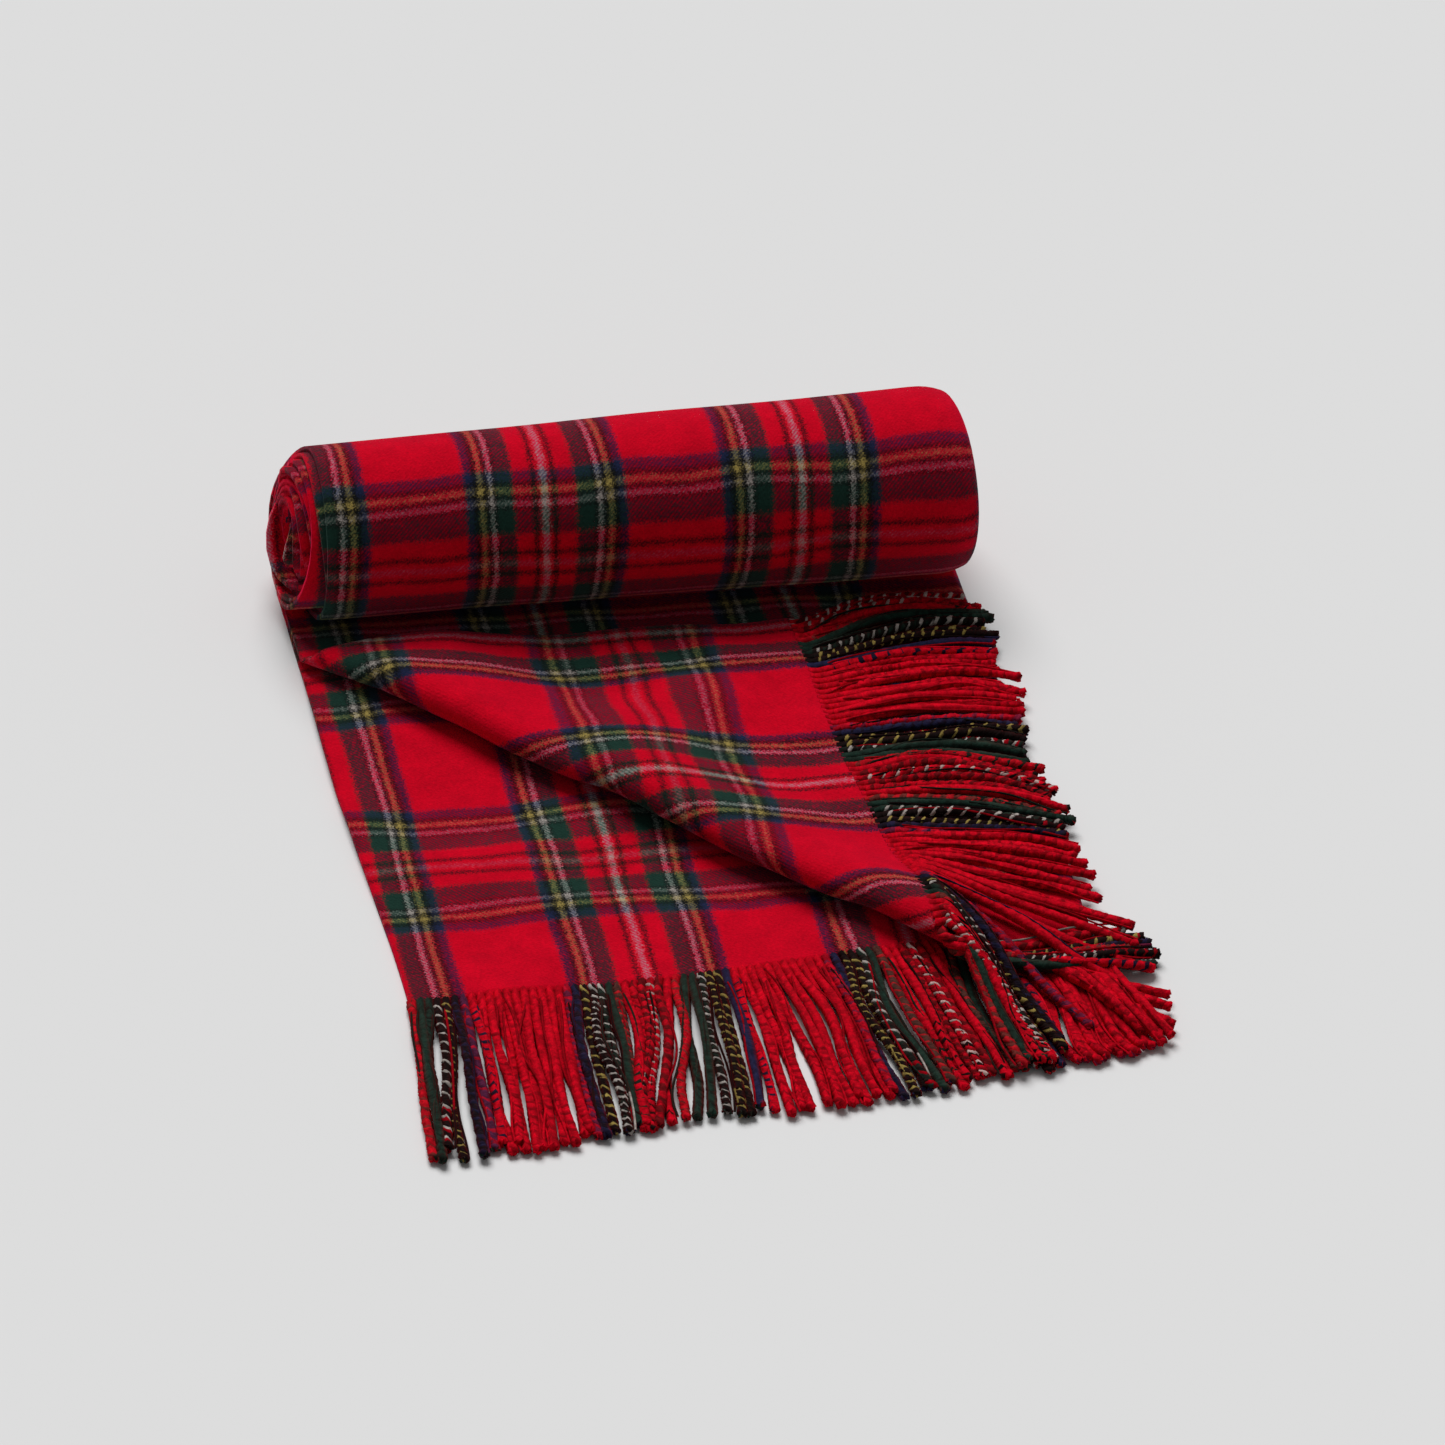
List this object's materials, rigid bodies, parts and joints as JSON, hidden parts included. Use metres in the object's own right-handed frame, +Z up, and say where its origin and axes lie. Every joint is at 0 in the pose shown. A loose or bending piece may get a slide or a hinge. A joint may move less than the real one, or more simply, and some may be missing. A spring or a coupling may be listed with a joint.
{
  "type": "folded throw blanket",
  "caption": "Tartan wool throw folded lengthwise and part rolled, with one corner turned back and a twisted fringe, to lay on a bed, chair or shelf.",
  "frame": {"origin": "centre of the bounding box's bottom face, on the surface that the throw lies on", "axes": "+X along the roll towards the side fold, +Y from the fringe to the roll, +Z up"},
  "size_m": [0.4458, 0.552, 0.1094],
  "materials": {
    "tartan_wool": "brushed twill, matt, with a soft nap",
    "red_tassels": "twisted wool, matt",
    "green_black_tassels": "twisted wool in green, black, white and yellow, matt",
    "mixed_red_tassels": "twisted wool in red, black and white, matt"
  },
  "bodies": {
    "root": {"core_fringe_lower": "mixed_red_tassels", "core_fringe_upper": "mixed_red_tassels", "corner_fold": "tartan_wool", "corner_tassels_centre_0": "mixed_red_tassels", "corner_tassels_centre_1": "mixed_red_tassels", "corner_tassels_centre_2": "mixed_red_tassels", "corner_tassels_first_pair_0": "green_black_tassels", "corner_tassels_first_pair_1": "green_black_tassels", "corner_tassels_second_pair_0": "green_black_tassels", "corner_tassels_second_pair_1": "green_black_tassels", "corner_tassels_wide_red_0": "red_tassels", "corner_tassels_wide_red_1": "red_tassels", "lower_layer": "tartan_wool", "lower_tassels_centre_0": "mixed_red_tassels", "lower_tassels_centre_1": "mixed_red_tassels", "lower_tassels_centre_2": "mixed_red_tassels", "lower_tassels_first_pair_0": "green_black_tassels", "lower_tassels_first_pair_1": "green_black_tassels", "lower_tassels_first_pair_2": "green_black_tassels", "lower_tassels_second_pair_0": "green_black_tassels", "lower_tassels_second_pair_1": "green_black_tassels", "lower_tassels_wide_red_0": "red_tassels", "lower_tassels_wide_red_1": "red_tassels", "lower_tassels_wide_red_2": "red_tassels", "rolled_lower_layer": "tartan_wool", "rolled_side_fold": "tartan_wool", "rolled_upper_layer": "tartan_wool", "side_fold": "tartan_wool", "turned_back_corner": "tartan_wool", "upper_layer": "tartan_wool", "upper_tassels_centre_2": "mixed_red_tassels", "upper_tassels_first_pair_2": "green_black_tassels", "upper_tassels_wide_red_2": "red_tassels"}
  },
  "joints": []
}
